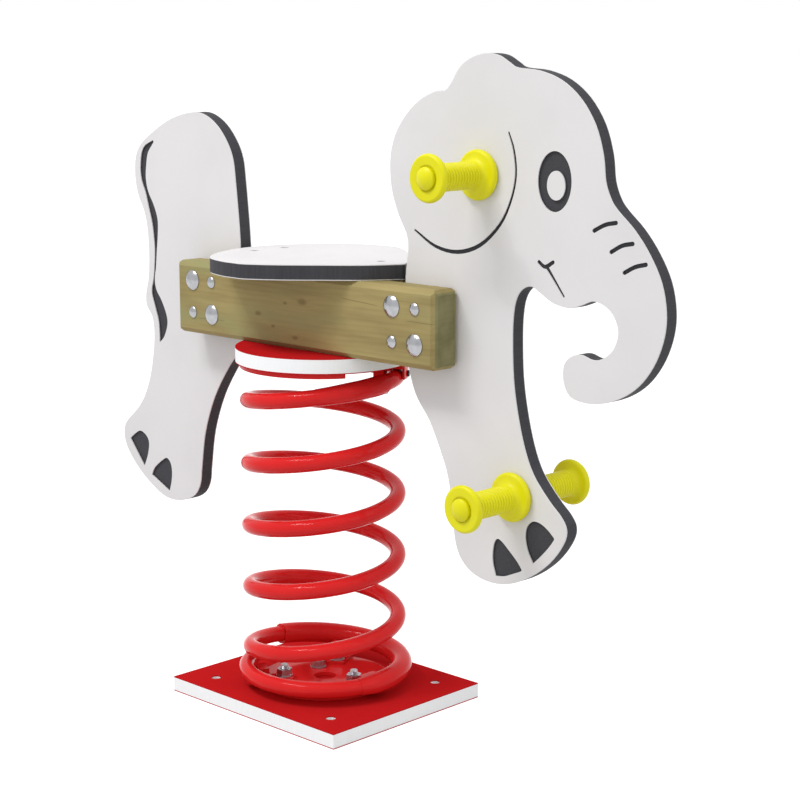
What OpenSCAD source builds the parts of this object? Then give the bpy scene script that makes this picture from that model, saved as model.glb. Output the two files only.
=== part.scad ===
// Spring rider: two flat elephant panels clamped between timber beams,
// a seat on the beams, and one coil spring between a round deck and a base plate.
// The elephant looks along +X. The origin is the middle of the base's underside.

/* [Sheet] */
// Thickness of the three-layer plastic sheet
sheet_t = 19; // [15:0.5:24]
// Depth of the lines milled through the sheet's skin
engrave_d = 2.6; // [1.5:0.1:5]

/* [Base] */
// Length of the base plate, front to back
base_l = 292; // [270:1:400]
// Width of the base plate
base_w = 250; // [240:1:400]
// Front to back distance between the ground anchor holes
anchor_pitch_x = 210; // [200:1:250]
// Side to side distance between the ground anchor holes
anchor_pitch_y = 180; // [170:1:215]
// Diameter of a ground anchor hole
anchor_d = 12; // [8:0.5:16]
// Diameter of the steel plate under the spring's clamps
foot_plate_d = 160; // [150:1:166]
// Thickness of the steel plate under the spring's clamps
foot_plate_t = 6; // [4:0.5:8]
// Diameter of the hole in the middle of that plate
foot_hole_d = 27.5; // [16:0.5:32]

/* [Spring] */
// Diameter of the spring wire
wire_d = 20; // [14:0.5:22]
// Mean diameter of the coil
coil_d = 183; // [175:1:188]
// Rise of the coil in one turn
coil_pitch = 78; // [65:0.5:90]
// Height of the spring, from the base to the steel plate above it
spring_h = 401; // [360:1:450]
// Extra radius of the bottom turn
end_turn_grow = 6; // [0:0.5:8]
// Wall of the hoses near the ends of the spring
sleeve_wall = 1.5; // [1:0.1:3]

/* [Deck] */
// Thickness of the steel plate on top of the spring
top_plate_t = 6; // [4:0.5:10]
// Diameter of the steel plate on top of the spring
top_plate_d = 202; // [195:1:210]
// Diameter of the round plastic disc under the beams
disc_d = 212; // [205:1:230]

/* [Beams] */
// Length of a beam
beam_l = 450; // [420:1:500]
// Height of a beam
beam_h = 91; // [80:1:110]
// Thickness of a beam
beam_t = 40; // [34:1:50]
// How far the beams' middle lies in front of the spring
beam_x = 8; // [0:1:20]
// Chamfer along all edges of a beam
beam_chamfer = 6; // [2:0.5:8]

/* [Seat] */
// Length of the seat
seat_l = 269; // [255:1:276]
// Width of the seat
seat_w = 256; // [240:1:300]
// How far the seat's tail lies behind the spring
seat_back = 130; // [122:1:138]

/* [Front panel] */
// Length of the front panel, ear to trunk
front_w = 394; // [385:1:420]
// Height of the front panel, foot to crown
front_h = 589; // [570:1:620]
// How far the ear reaches behind the middle of the front fasteners
front_back = 60.5; // [57:0.5:64]
// How far the feet reach below the middle of the beams
foot_drop = 285.5; // [270:0.5:295]

/* [Rear panel] */
// Length of the rear panel
rear_w = 262; // [255:1:280]
// Height of the rear panel
rear_h = 515; // [500:1:540]
// How far the heel reaches behind the middle of the rear fasteners
rear_back = 221; // [216:1:224]

/* [Grips] */
// Length of a grip, from the panel to its outer face
grip_l = 86; // [75:1:110]
// Diameter of a grip's flange on the panel
flange_d = 56; // [50:1:66]
// Diameter of a grip's flange at its outer end
end_flange_d = 53; // [48:1:66]
// Diameter of a grip's barrel
barrel_d = 29; // [26:1:36]
// Diameter of the steel rod through a pair of grips
rod_d = 10; // [8:0.5:12]
// Diameter of the round cap on a grip
cap_d = 25; // [20:0.5:30]

/* [Fasteners] */
// Distance of the front fasteners from the beams' front end
front_inset = 48.5; // [46:0.5:52]
// Distance of the rear fasteners from the beams' rear end
rear_inset = 50; // [42:0.5:54]
// How far the fasteners lie above the beams' middle
joint_lift = 2; // [-5:0.5:5]
// Front to back distance between fasteners in a group
joint_pitch_x = 36; // [34:1:42]
// Height distance between fasteners in a group
joint_pitch_z = 40.5; // [36:0.5:46]
// Diameter of a beam bolt's domed head
bolt_head_d = 25; // [22:0.5:32]
// Diameter of a beam bolt's shank
bolt_d = 10; // [8:0.5:12]
// Diameter of a small screw's domed head
screw_head_d = 14.5; // [12:0.5:17]
// Diameter of a small screw's shank
screw_d = 6; // [4:0.5:8]
// Distance of the spring's clamp bolts from the spring's axis
clamp_bolt_r = 52; // [50:1:56]
// Diameter of the spring's clamp bolts
clamp_bolt_d = 10; // [8:0.5:12]

/* [Hidden] */
$fn = 64;

// Common clearances and the overrun of every cut
overrun = 1;
hole_gap = 0.25;
seat_gap = 0.3;

// Levels, from the ground up
base_top = sheet_t;
foot_top = base_top + foot_plate_t;
plate_z = base_top + spring_h;
disc_z = plate_z + top_plate_t;
beam_z = disc_z + sheet_t;
beam_mid = beam_z + beam_h / 2;
seat_z = beam_z + beam_h;

// Wire path: flat end turn, easing, even rise, easing, flat end
wire_r = wire_d / 2;
sleeve_gap = 0.3;
sleeve_sides = 12;
sleeve_bore_r = (wire_r + sleeve_gap) / cos(180 / sleeve_sides);
sleeve_r = sleeve_bore_r + sleeve_wall;
coil_r = coil_d / 2;
bottom_flat_deg = 115;
bottom_ease_deg = 277;
top_ease_deg = 110;
top_flat_deg = 54;
wire_sides = 10;
ring_step_deg = 11.35;
half_turn_deg = 180;
rise_per_deg = coil_pitch / 360;
claw_foot_t = 4;
wire_low = foot_top + claw_foot_t + seat_gap + wire_r;
wire_high = plate_z - seat_gap - wire_r;
even_deg = (wire_high - wire_low) / rise_per_deg - (bottom_ease_deg + top_ease_deg) / 2;
rise_start_deg = bottom_flat_deg + bottom_ease_deg;
rise_end_deg = rise_start_deg + even_deg;
top_start_deg = rise_end_deg + top_ease_deg;
coil_deg = top_start_deg + top_flat_deg;
coil_rings = ceil(coil_deg / ring_step_deg);

// The wire's upper end lies this way round the deck, and its lower end follows from the turns
coil_end_deg = 122;
coil_start_deg = coil_end_deg - coil_deg;

// The hoses cover these stretches, in degrees from the coil's lower or upper end
lower_sleeve_from_deg = 129;
lower_sleeve_to_deg = 320;
upper_sleeve_from_deg = 170;
upper_sleeve_to_deg = 113.5;

// Clamps that hold the coil's ends
lower_clamp_degs = [0, 120, 240];
claw_w = 24;
claw_toe_r = 42;
claw_heel = 3;
claw_wall_from = 24;
claw_wall_t = 18;
claw_lip_h = 5;
claw_reach = 26;
claw_groove_gap = 1.4;
spare_bolt_x = -30;
spare_bolt_y = 16.5;
clamp_washer_d = 20;
clamp_washer_t = 2;
clamp_nut_af = 17;
clamp_nut_h = 8;
clamp_tip_h = 5.5;
clamp_head_d = 18;
clamp_head_h = 7;
upper_claw_from_end_deg = 40;
block_from_end_deg = 88;
block_arc_deg = 16;
block_inner_r = 65;
block_bolt_r = 72;
block_gap = 0.7;
hook_drop = 14;
ear_t = 2.8;
ear_drop = 1;
ear_screw_lift = 4.5;
ear_screw_d = 4;
ear_screw_head_d = 8;
ear_screw_head_h = 2.5;
notch_r = 59;
notch_before_deg = 62;
notch_after_deg = 16;
clamp_bite = 14;

// Deck screws that hold the disc and the steel plate to the beams
deck_screw_x = 38;
deck_screw_y = 30;
deck_screw_d = 8;
deck_screw_head_d = 15;
deck_screw_head_h = 6;
deck_screw_bite = 40;

// Fastener groups on the beams
front_joint_x = beam_x + beam_l / 2 - front_inset;
rear_joint_x = beam_x - beam_l / 2 + rear_inset;
joint_z = beam_mid + joint_lift;
beam_side = sheet_t / 2;
beam_face = beam_side + beam_t;
bolt_head_h = 6;
nut_sleeve_d = bolt_d + 4;
nut_thread_l = 22;
screw_head_h = 4;
screw_bite = 7;

// Seat screws: two into the beams, one into the spacer
seat_screw_back = 94;
seat_screw_y = 25;
seat_screw_head_d = 10.4;
seat_screw_head_h = 5;
seat_screw_sink = 9;
seat_screw_bite = 34;

// Grip details
grip_rim_r = 3.6;
flange_t = 8.5;
flange_dish = 6;
grip_ribs = 13;
rib_h = 0.9;
grip_recess_d = 2;
grip_recess_rim = 1.6;
cap_band_h = 4.2;
cap_dome_h = 4.6;
rod_end_gap = 3;

// Panel corners
front_x = front_joint_x - front_back;
front_z = beam_mid - foot_drop;
rear_x = rear_joint_x - rear_back;
rear_z = beam_mid - foot_drop;

// Spacer block between the beams, behind the front panel and under the seat's front screw
spacer_back = 22;
spacer_x = front_x - spacer_back;
spacer_l = 50;

// Grip places on the front panel, as shares of its length and height
handgrip_shares = [0.354, 0.778];
footrest_shares = [0.489, 0.179];

// Outline of the front panel, from the nape over the crown, trunk, throat and foot
front_shares = [
  [0.068, 0.482], [0.065, 0.567], [0.075, 0.642], [0.036, 0.692], [0.007, 0.745], [0.004, 0.806],
  [0.034, 0.858], [0.100, 0.904], [0.175, 0.928], [0.217, 0.931], [0.244, 0.947], [0.272, 0.973],
  [0.313, 0.991], [0.366, 1.000], [0.418, 0.997], [0.458, 0.984], [0.487, 0.975], [0.564, 0.970],
  [0.640, 0.954], [0.706, 0.923], [0.757, 0.878], [0.785, 0.826], [0.795, 0.779], [0.815, 0.748],
  [0.840, 0.729], [0.894, 0.698], [0.944, 0.658], [0.983, 0.612], [1.000, 0.563], [0.996, 0.519],
  [0.971, 0.473], [0.929, 0.433], [0.876, 0.405], [0.809, 0.386], [0.740, 0.380], [0.686, 0.388],
  [0.663, 0.414], [0.664, 0.444], [0.690, 0.462], [0.725, 0.467], [0.762, 0.461], [0.794, 0.465],
  [0.830, 0.484], [0.846, 0.515], [0.831, 0.543], [0.800, 0.560], [0.760, 0.566], [0.720, 0.556],
  [0.680, 0.549], [0.624, 0.554], [0.577, 0.570], [0.545, 0.580], [0.513, 0.573], [0.491, 0.553],
  [0.481, 0.520], [0.479, 0.474], [0.484, 0.405], [0.500, 0.342], [0.527, 0.277], [0.562, 0.228],
  [0.618, 0.186], [0.668, 0.156], [0.684, 0.132], [0.667, 0.102], [0.622, 0.065], [0.558, 0.032],
  [0.484, 0.008], [0.410, 0.000], [0.342, 0.008], [0.292, 0.031], [0.266, 0.068], [0.256, 0.125],
  [0.237, 0.190], [0.209, 0.236], [0.163, 0.294], [0.104, 0.345], [0.074, 0.410]
];

// Outline of the rear panel, from the rump's top round the back, heel and shin
rear_shares = [
  [0.601, 0.999], [0.449, 0.982], [0.305, 0.948], [0.202, 0.914], [0.158, 0.880], [0.151, 0.830],
  [0.172, 0.785], [0.216, 0.745], [0.241, 0.697], [0.247, 0.635], [0.240, 0.577], [0.215, 0.530],
  [0.220, 0.500], [0.262, 0.473], [0.274, 0.430], [0.262, 0.376], [0.232, 0.315], [0.186, 0.264],
  [0.125, 0.225], [0.030, 0.184], [0.003, 0.156], [0.016, 0.120], [0.075, 0.082], [0.165, 0.045],
  [0.290, 0.010], [0.385, 0.000], [0.480, 0.006], [0.570, 0.027], [0.616, 0.061], [0.631, 0.110],
  [0.663, 0.200], [0.738, 0.293], [0.843, 0.372], [0.935, 0.425], [0.985, 0.480], [1.000, 0.550],
  [0.958, 0.640], [0.944, 0.730], [0.921, 0.840], [0.905, 0.891], [0.865, 0.931], [0.793, 0.970],
  [0.700, 0.995]
];

// Half outline of the seat: length from the tail, half width from the middle line
seat_shares = [
  [0.000, 0.000], [0.013, 0.222], [0.052, 0.453], [0.115, 0.688], [0.212, 0.887], [0.342, 0.984],
  [0.428, 1.000], [0.502, 0.988], [0.636, 0.813], [0.766, 0.570], [0.888, 0.336], [0.952, 0.156],
  [0.982, 0.055], [1.000, 0.000]
];

// Engraved lines as shares of the front panel; the third value is the line's width
ear_shares = [
  [0.458, 0.858, 0.006], [0.477, 0.826, 0.0075], [0.485, 0.782, 0.008], [0.468, 0.735, 0.0085],
  [0.428, 0.688, 0.0105], [0.355, 0.647, 0.012], [0.269, 0.630, 0.012], [0.183, 0.637, 0.0105],
  [0.104, 0.664, 0.007]
];
brow_shares = [
  [[0.759, 0.692, 0.0117], [0.796, 0.704, 0.0117], [0.832, 0.709, 0.0117]],
  [[0.817, 0.657, 0.0117], [0.853, 0.670, 0.0117], [0.888, 0.675, 0.0117]],
  [[0.862, 0.623, 0.0117], [0.897, 0.635, 0.0117], [0.932, 0.641, 0.0117]]
];
lip_shares = [[0.571, 0.627, 0.011], [0.593, 0.619, 0.012], [0.621, 0.629, 0.011]];
smile_shares = [[0.602, 0.617, 0.0107], [0.628, 0.596, 0.008], [0.660, 0.569, 0.0065]];

// Eye: centre and half sizes of the milled ellipse and of the island left in it
eye_shares = [0.622, 0.774, 0.0585, 0.0545];
pupil_shares = [0.627, 0.767, 0.0315, 0.0265];

// Toenails of the front foot: from one end of the sole's edge over the top, then back
front_nail_shares = [
  [
    [[0.426, 0.016], [0.415, 0.039], [0.413, 0.059], [0.419, 0.081], [0.432, 0.090], [0.449, 0.086],
     [0.472, 0.074], [0.505, 0.055], [0.523, 0.041]],
    [[0.523, 0.041], [0.519, 0.037], [0.489, 0.028], [0.456, 0.019], [0.426, 0.016]]
  ],
  [
    [[0.564, 0.058], [0.544, 0.081], [0.535, 0.105], [0.540, 0.126], [0.561, 0.139], [0.587, 0.139],
     [0.615, 0.130], [0.639, 0.117]],
    [[0.639, 0.117], [0.638, 0.112], [0.619, 0.095], [0.591, 0.075], [0.564, 0.058]]
  ]
];

// Toenails of the rear foot
rear_nail_shares = [
  [
    [[0.053, 0.138], [0.089, 0.152], [0.135, 0.164], [0.172, 0.160], [0.201, 0.148], [0.209, 0.132],
     [0.198, 0.106], [0.179, 0.084], [0.166, 0.071]],
    [[0.166, 0.071], [0.110, 0.104], [0.053, 0.138]]
  ],
  [
    [[0.225, 0.053], [0.249, 0.073], [0.295, 0.092], [0.345, 0.107], [0.372, 0.102], [0.388, 0.089],
     [0.392, 0.068], [0.385, 0.045], [0.369, 0.020]],
    [[0.369, 0.020], [0.297, 0.037], [0.225, 0.053]]
  ]
];

// Tail: a wavy line of changing width down the rear panel's back edge
tail_shares = [
  [0.298, 0.922, 0.014], [0.237, 0.898, 0.046], [0.218, 0.862, 0.048], [0.218, 0.827, 0.038],
  [0.242, 0.793, 0.024], [0.273, 0.759, 0.044], [0.298, 0.725, 0.050], [0.304, 0.690, 0.036],
  [0.302, 0.647, 0.018], [0.294, 0.604, 0.014], [0.283, 0.571, 0.012], [0.282, 0.540, 0.043],
  [0.313, 0.510, 0.065], [0.340, 0.480, 0.074], [0.347, 0.460, 0.070], [0.336, 0.431, 0.042],
  [0.319, 0.412, 0.006]
];

spline_steps = 4;
ellipse_points = 48;

red = [0.77, 0.1, 0.13];
white = [0.9, 0.9, 0.9];
timber = [0.62, 0.55, 0.36];
zinc = [0.72, 0.73, 0.75];
black = [0.1, 0.1, 0.11];
yellow = [0.86, 0.82, 0.09];

// Curves through points chosen by hand

function curve(p, q, r, s, u) =
  ((-p + 3 * q - 3 * r + s) * u * u * u + (2 * p - 5 * q + 4 * r - s) * u * u + (r - p) * u + 2 * q) / 2;

function closed_curve(pts) =
  let (n = len(pts))
  [for (i = [0 : n - 1], k = [0 : spline_steps - 1])
    curve(pts[(i + n - 1) % n], pts[i], pts[(i + 1) % n], pts[(i + 2) % n], k / spline_steps)];

function open_curve(pts) =
  let (
    n = len(pts),
    ext = concat([2 * pts[0] - pts[1]], pts, [2 * pts[n - 1] - pts[n - 2]])
  )
  concat(
    [for (i = [1 : n - 1], k = [0 : spline_steps - 1])
      curve(ext[i - 1], ext[i], ext[i + 1], ext[i + 2], k / spline_steps)],
    [pts[n - 1]]
  );

function unit(v) = v / norm(v);

function sized(pts, w, h) = [for (p = pts) len(p) == 2 ? [p.x * w, p.y * h] : [p.x * w, p.y * h, p.z * w]];

// A line of changing width, as one closed outline with rounded ends
function stroke(pts) =
  let (
    c = open_curve(pts),
    n = len(c),
    dir = [for (i = [0 : n - 1])
      let (d = c[min(i + 1, n - 1)] - c[max(i - 1, 0)]) unit([d.x, d.y])],
    left = [for (i = [0 : n - 1]) [c[i].x - dir[i].y * c[i].z / 2, c[i].y + dir[i].x * c[i].z / 2]],
    right = [for (i = [n - 1 : -1 : 0]) [c[i].x + dir[i].y * c[i].z / 2, c[i].y - dir[i].x * c[i].z / 2]]
  )
  concat(left, round_end(c[n - 1], dir[n - 1]), right, round_end(c[0], -dir[0]));

function round_end(c, d) =
  [for (t = [60, 30, 0, -30, -60])
    [c.x + (d.x * cos(t) - d.y * sin(t)) * c.z / 2, c.y + (d.y * cos(t) + d.x * sin(t)) * c.z / 2]];

function ellipse(cx, cy, rx, ry) =
  [for (i = [0 : ellipse_points - 1])
    [cx + rx * cos(360 * i / ellipse_points), cy + ry * sin(360 * i / ellipse_points)]];

function nail(sides) = concat(open_curve(sides[0]), open_curve(sides[1]));

// Path of the spring wire, a in degrees from its lower end

function coil_z(a) =
  a < bottom_flat_deg ? wire_low
  : a < rise_start_deg ? wire_low + rise_per_deg * pow(a - bottom_flat_deg, 2) / (2 * bottom_ease_deg)
  : a < rise_end_deg ? wire_low + rise_per_deg * (a - rise_start_deg + bottom_ease_deg / 2)
  : a < top_start_deg ? wire_high - rise_per_deg * pow(top_start_deg - a, 2) / (2 * top_ease_deg)
  : wire_high;

function coil_grow(a) = end_turn_grow * (1 - pow(min(1, max(0, a / rise_start_deg)), 2));

function coil_at(a) =
  let (r = coil_r + coil_grow(a), deg = coil_start_deg + a)
  [r * cos(deg), r * sin(deg), coil_z(a)];

function coil_dir(a) = unit(coil_at(min(a + 1, coil_deg)) - coil_at(max(a - 1, 0)));

function coil_ring(c, a, r, sides) =
  let (
    t = coil_dir(a),
    b = unit(cross(t, [cos(coil_start_deg + a), sin(coil_start_deg + a), 0])),
    n = cross(b, t)
  )
  [for (j = [0 : sides - 1]) c + r * (cos(360 * j / sides) * n + sin(360 * j / sides) * b)];

// Rings are counted back from the wire's upper end
function ring_deg(i) = max(coil_deg - (coil_rings - i) * ring_step_deg, 0);

function ring_near(deg) = coil_rings - round((coil_deg - deg) / ring_step_deg);

// Side triangles of a tube of n rings, seen from outside or from its bore
function tube_sides(n, sides, base, bore) =
  [for (i = [0 : n - 2], j = [0 : sides - 1], k = [0, 1])
    let (
      a = base + i * sides + j,
      b = base + i * sides + (j + 1) % sides,
      tri = k == 0 ? [a, b, b + sides] : [a, b + sides, a + sides]
    )
    bore ? tri : [tri[2], tri[1], tri[0]]];

// The closed end of a tube, at its first or its last ring
function fan(base, sides, last) =
  [for (j = [1 : sides - 2]) last ? [base, base + j + 1, base + j] : [base, base + j, base + j + 1]];

// The ring-shaped end of a hollow tube
function annulus(outer, inner, sides, last) =
  [for (j = [0 : sides - 1], k = [0, 1])
    let (
      n = (j + 1) % sides,
      tri = k == 0 ? [outer + j, inner + j, inner + n] : [outer + j, inner + n, outer + n]
    )
    last ? tri : [tri[2], tri[1], tri[0]]];

// Least gap between the wire's turns, measured on the path's own points
coil_path = [for (i = [0 : coil_rings]) coil_at(ring_deg(i))];
rings_apart = ceil(half_turn_deg / ring_step_deg);
coil_self_gap = min([for (i = [0 : coil_rings - rings_apart], j = [i + rings_apart : coil_rings])
  norm(coil_path[i] - coil_path[j])]) - wire_d;
echo(least_gap_between_turns = coil_self_gap, turns = coil_deg / 360);

// Shapes used by several pieces

module flat_sheet(pts) {
  rotate([90, 0, 0]) linear_extrude(sheet_t, center = true) polygon(pts);
}

// A milled recess in both faces of a panel
module milled(pts) {
  for (side = [-1, 1]) {
    translate([0, side * (sheet_t / 2 + (overrun - engrave_d) / 2), 0])
      rotate([90, 0, 0]) linear_extrude(engrave_d + overrun, center = true) polygon(pts);
  }
}

module along_y(d, from, to) {
  translate([0, from, 0]) rotate([-90, 0, 0]) cylinder(d = d, h = to - from);
}

// A domed head on the end of a fastener, its flat side on z = 0
module dome(d, h) {
  ball_r = (d * d / 4 + h * h) / (2 * h);
  intersection() {
    translate([0, 0, h - ball_r]) sphere(r = ball_r);
    cylinder(d = d, h = h);
  }
}

module at_grid(joint_x, diagonal) {
  for (side = [-1, 1]) {
    translate([joint_x + side * joint_pitch_x / 2, 0, joint_z - diagonal * side * joint_pitch_z / 2])
      children();
  }
}

module at_bolts() {
  at_grid(front_joint_x, 1) children();
  at_grid(rear_joint_x, 1) children();
}

module at_screws() {
  at_grid(front_joint_x, -1) children();
  at_grid(rear_joint_x, -1) children();
}

module chamfered(l, w, h, c) {
  intersection() {
    linear_extrude(h, center = true) polygon(cut_corners(l, w, c));
    rotate([90, 0, 0]) linear_extrude(w, center = true) polygon(cut_corners(l, h, c));
    rotate([90, 0, 90]) linear_extrude(l, center = true) polygon(cut_corners(w, h, c));
  }
}

function cut_corners(w, h, c) =
  [for (s = [[1, 1], [-1, 1], [-1, -1], [1, -1]], k = [0, 1])
    let (first = (s.x * s.y > 0) == (k == 0))
    first ? [s.x * w / 2, s.y * (h / 2 - c)] : [s.x * (w / 2 - c), s.y * h / 2]];

// Base

module at_lower_clamps() {
  for (deg = lower_clamp_degs) {
    rotate([0, 0, deg]) translate([clamp_bolt_r, 0, 0]) children();
  }
}

module at_lower_bolts() {
  at_lower_clamps() children();
  translate([spare_bolt_x, spare_bolt_y, 0]) children();
}

// Where a nut's washer rests: on a clamp's foot, or on the plate itself
module at_nut_seats() {
  at_lower_clamps() translate([0, 0, foot_top + claw_foot_t]) children();
  translate([spare_bolt_x, spare_bolt_y, foot_top]) children();
}

module base_plate() {
  color(red) difference() {
    translate([-base_l / 2, -base_w / 2, 0]) cube([base_l, base_w, sheet_t]);
    for (sx = [-1, 1], sy = [-1, 1]) {
      translate([sx * anchor_pitch_x / 2, sy * anchor_pitch_y / 2, -overrun])
        cylinder(d = anchor_d, h = sheet_t + 2 * overrun);
    }
    at_lower_bolts() {
      translate([0, 0, -overrun]) cylinder(d = clamp_bolt_d + 2 * hole_gap, h = sheet_t + 2 * overrun);
      translate([0, 0, -overrun])
        cylinder(d = clamp_head_d + 2 * hole_gap, h = clamp_head_h + seat_gap + overrun);
    }
  }
}

module spring_foot_plate() {
  color(red) translate([0, 0, base_top]) difference() {
    cylinder(d = foot_plate_d, h = foot_plate_t, $fn = 128);
    translate([0, 0, -overrun]) cylinder(d = foot_hole_d, h = foot_plate_t + 2 * overrun);
    at_lower_bolts() translate([0, 0, -overrun])
      cylinder(d = clamp_bolt_d + 2 * hole_gap, h = foot_plate_t + 2 * overrun);
  }
}

// Where the wire passes over a clamp, in degrees from the coil's lower end
function lower_wire_deg(deg) = (deg - coil_start_deg) % 360;

// A bent claw: a foot from its bolt to heel_r, and a wall with a groove of groove_r beside the wire
module claw(wire_z, wire_at_r, foot_z, top, heel_r, groove_r) {
  difference() {
    union() {
      translate([claw_toe_r, -claw_w / 2, foot_z]) cube([heel_r - claw_toe_r, claw_w, claw_foot_t]);
      difference() {
        translate([wire_at_r - claw_wall_from, -claw_w / 2, foot_z])
          cube([claw_wall_t, claw_w, top - foot_z]);
        translate([wire_at_r, 0, wire_z]) rotate([90, 0, 0])
          cylinder(r = groove_r, h = claw_w + 2 * overrun, center = true);
      }
    }
    translate([clamp_bolt_r, 0, foot_z - overrun])
      cylinder(d = clamp_bolt_d + 2 * hole_gap, h = claw_foot_t + 2 * overrun);
  }
}

module lower_clamps() {
  color(red) for (deg = lower_clamp_degs) {
    a = lower_wire_deg(deg);
    wire_at_r = coil_r + coil_grow(a);
    side_deg = ring_step_deg + atan(claw_w / (2 * (wire_at_r - claw_wall_from)));
    hosed = a > lower_sleeve_from_deg - side_deg && a < lower_sleeve_to_deg + side_deg;
    held_r = hosed ? sleeve_r : wire_r;
    heel_r = hosed ? wire_at_r - claw_wall_from : wire_at_r + claw_heel;
    top = min(coil_z(a) + claw_lip_h, base_top + claw_reach);
    rotate([0, 0, deg])
      claw(coil_z(a), wire_at_r, foot_top, top, heel_r, held_r + claw_groove_gap);
  }
}

module lower_clamp_bolts() {
  tip = foot_top + claw_foot_t + clamp_washer_t + clamp_nut_h + clamp_tip_h;
  color(zinc) at_lower_bolts() {
    translate([0, 0, seat_gap]) cylinder(d = clamp_head_d, h = clamp_head_h);
    translate([0, 0, seat_gap]) cylinder(d = clamp_bolt_d, h = tip - seat_gap);
  }
}

module lower_clamp_washers() {
  color(zinc) at_nut_seats() difference() {
    cylinder(d = clamp_washer_d, h = clamp_washer_t);
    translate([0, 0, -overrun])
      cylinder(d = clamp_bolt_d + 2 * hole_gap, h = clamp_washer_t + 2 * overrun);
  }
}

module lower_clamp_nuts() {
  color(zinc) at_nut_seats() translate([0, 0, clamp_washer_t]) difference() {
    cylinder(d = clamp_nut_af / cos(30), h = clamp_nut_h, $fn = 6);
    translate([0, 0, -overrun])
      cylinder(d = clamp_bolt_d + 2 * hole_gap, h = clamp_nut_h + 2 * overrun);
  }
}

// Spring

// One unbroken wire, straight for one diameter at both ends
module coil_spring() {
  first = coil_at(0) - wire_d * coil_dir(0);
  last = coil_at(coil_deg) + wire_d * coil_dir(coil_deg);
  rings = concat(
    [coil_ring(first, 0, wire_r, wire_sides)],
    [for (i = [0 : coil_rings]) coil_ring(coil_at(ring_deg(i)), ring_deg(i), wire_r, wire_sides)],
    [coil_ring(last, coil_deg, wire_r, wire_sides)]
  );
  n = len(rings);
  color(red) polyhedron(
    points = [for (r = rings, p = r) p],
    faces = concat(
      tube_sides(n, wire_sides, 0, false),
      fan(0, wire_sides, false),
      fan((n - 1) * wire_sides, wire_sides, true)
    )
  );
}

// A hose over the wire between two of its rings
module coil_sleeve(from_deg, to_deg) {
  i0 = ring_near(from_deg);
  i1 = ring_near(to_deg);
  n = i1 - i0 + 1;
  outer = [for (i = [i0 : i1]) coil_ring(coil_at(ring_deg(i)), ring_deg(i), sleeve_r, sleeve_sides)];
  inner = [for (i = [i0 : i1]) coil_ring(coil_at(ring_deg(i)), ring_deg(i), sleeve_bore_r, sleeve_sides)];
  last = (n - 1) * sleeve_sides;
  bore = n * sleeve_sides;
  polyhedron(
    points = [for (r = concat(outer, inner), p = r) p],
    faces = concat(
      tube_sides(n, sleeve_sides, 0, false),
      tube_sides(n, sleeve_sides, bore, true),
      annulus(0, bore, sleeve_sides, false),
      annulus(last, bore + last, sleeve_sides, true)
    )
  );
}

module lower_coil_sleeve() {
  color(red) coil_sleeve(lower_sleeve_from_deg, lower_sleeve_to_deg);
}

module upper_coil_sleeve() {
  color(red) coil_sleeve(coil_deg - upper_sleeve_from_deg, coil_deg - upper_sleeve_to_deg);
}

// Deck on top of the spring

block_deg = coil_end_deg - block_from_end_deg;
upper_claw_deg = coil_end_deg - upper_claw_from_end_deg;
block_wire_z = coil_z(coil_deg - block_from_end_deg);
hook_z = block_wire_z - hook_drop;
ear_r = coil_r + wire_r + block_gap;
ear_z = block_wire_z + ear_screw_lift;

// A hooked block under the disc: down inside the wire, over it, and an ear outside it
module upper_clamp_block() {
  hook_r = coil_r - sleeve_r - block_gap;
  ear_low = block_wire_z - ear_drop;
  color(red) difference() {
    rotate([0, 0, block_deg - block_arc_deg / 2]) rotate_extrude(angle = block_arc_deg) polygon([
      [block_inner_r, hook_z], [hook_r, hook_z], [hook_r, plate_z], [ear_r, plate_z],
      [ear_r, ear_low], [ear_r + ear_t, ear_low], [ear_r + ear_t, disc_z], [block_inner_r, disc_z]
    ]);
    rotate([0, 0, block_deg]) translate([block_bolt_r, 0, hook_z - overrun])
      cylinder(d = clamp_bolt_d + 2 * hole_gap, h = disc_z - hook_z + 2 * overrun);
    rotate([0, 0, block_deg]) translate([ear_r - overrun, 0, ear_z]) rotate([0, 90, 0])
      cylinder(d = ear_screw_d + 2 * hole_gap, h = ear_t + 2 * overrun);
  }
}

module upper_clamp_claw() {
  color(red) rotate([0, 0, upper_claw_deg]) mirror([0, 0, 1])
    claw(-wire_high, coil_r, -plate_z, claw_lip_h - wire_high, coil_r - claw_wall_from,
      wire_r + claw_groove_gap);
}

module upper_clamp_bolts() {
  color(black) {
    rotate([0, 0, block_deg]) translate([block_bolt_r, 0, hook_z - clamp_head_h]) {
      cylinder(d = clamp_head_d, h = clamp_head_h);
      cylinder(d = clamp_bolt_d, h = disc_z + clamp_bite - hook_z + clamp_head_h);
    }
    rotate([0, 0, upper_claw_deg]) translate([clamp_bolt_r, 0, plate_z - claw_foot_t - clamp_head_h]) {
      cylinder(d = clamp_head_d, h = clamp_head_h);
      cylinder(d = clamp_bolt_d, h = clamp_head_h + claw_foot_t + top_plate_t + clamp_bite);
    }
    rotate([0, 0, block_deg]) translate([ear_r, 0, ear_z]) rotate([0, 90, 0]) {
      cylinder(d = ear_screw_d, h = ear_t);
      translate([0, 0, ear_t]) cylinder(d = ear_screw_head_d, h = ear_screw_head_h);
    }
  }
}

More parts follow.
